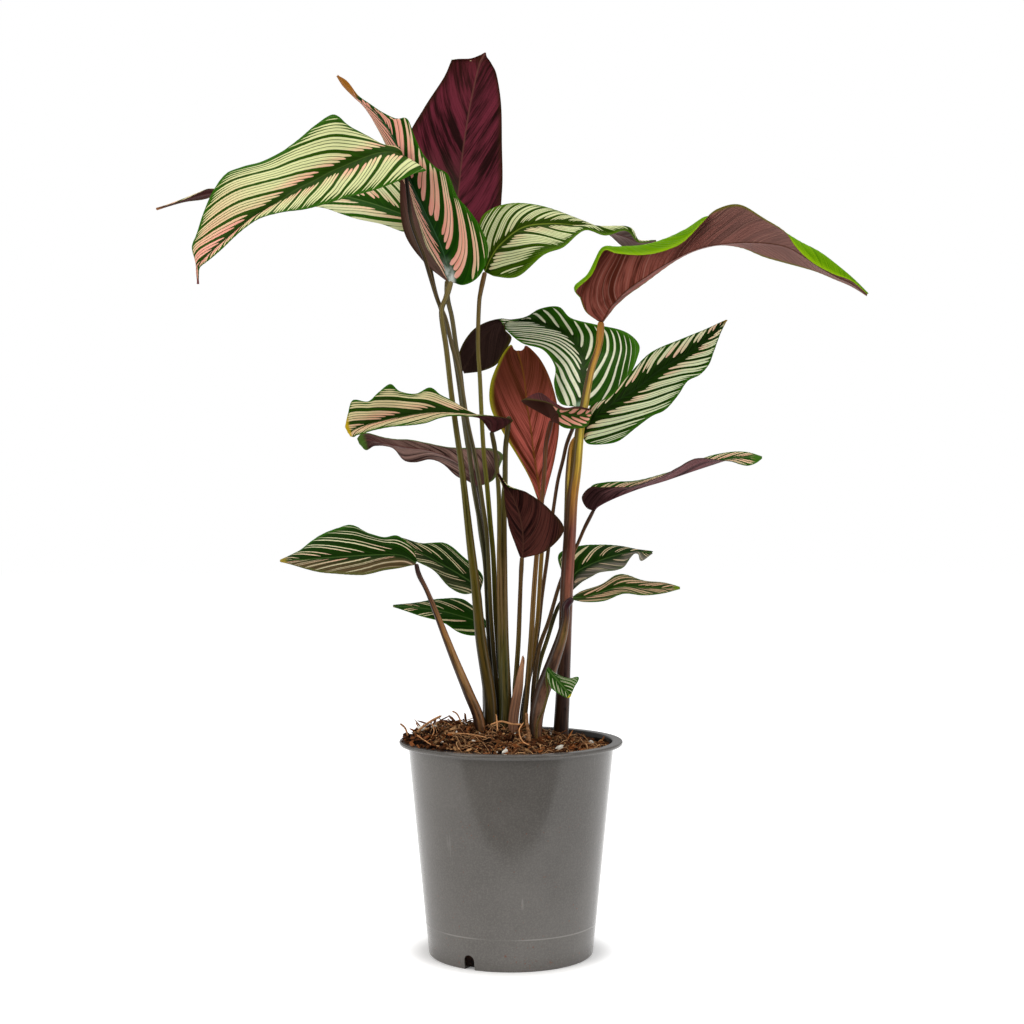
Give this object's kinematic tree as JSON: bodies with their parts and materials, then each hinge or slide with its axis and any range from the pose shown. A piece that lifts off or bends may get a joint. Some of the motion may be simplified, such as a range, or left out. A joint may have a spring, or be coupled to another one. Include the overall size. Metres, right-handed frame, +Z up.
{
  "type": "potted star calathea",
  "caption": "Prayer plant with long pointed leaves, striped cream and pink above and maroon below, on slender stalks in a plain grey nursery pot of compost.",
  "frame": {"origin": "centre of the pot's flat base", "axes": "+Z up along the pot's axis, -Y towards the picture's camera, +X to the right of the picture"},
  "size_m": [0.5379, 0.2194, 0.6899],
  "materials": {
    "pot": "satin",
    "compost": "matte",
    "dry_sheath": "matte",
    "leaf_striped": "satin",
    "leaf_underside": "satin",
    "stalk": "satin"
  },
  "bodies": {
    "root": {"pot": "pot", "compost": "compost", "dry_sheath": "dry_sheath", "blade_upper_left": "leaf_striped", "stalk_upper_left": "stalk", "blade_behind_left": "leaf_striped", "stalk_behind_left": "stalk", "blade_pink": "leaf_striped", "stalk_pink": "stalk", "blade_tall_maroon": "leaf_underside", "stalk_tall_maroon": "stalk", "blade_top_right": "leaf_striped", "stalk_top_right": "stalk", "blade_long_right": "leaf_underside", "stalk_long_right": "stalk", "blade_centre": "leaf_striped", "stalk_centre": "stalk", "blade_right": "leaf_striped", "blade_small_cup": "leaf_striped", "stalk_small_cup": "stalk", "blade_rust": "leaf_underside", "stalk_rust": "stalk", "blade_plum": "leaf_underside", "stalk_plum": "stalk", "blade_mid_left": "leaf_striped", "stalk_mid_left": "stalk", "blade_mid_left_under": "leaf_underside", "stalk_mid_left_under": "stalk", "blade_low_left": "leaf_striped", "stalk_low_left": "stalk", "blade_low_left_back": "leaf_striped", "stalk_low_left_back": "stalk", "blade_lowest_left": "leaf_striped", "stalk_lowest_left": "stalk", "blade_low_right": "leaf_striped", "stalk_low_right": "stalk", "blade_low_right_back": "leaf_striped", "stalk_low_right_back": "stalk", "blade_edge_on_right": "leaf_underside", "stalk_edge_on_right": "stalk", "blade_baby": "leaf_striped", "stalk_baby": "stalk"}
  },
  "joints": []
}
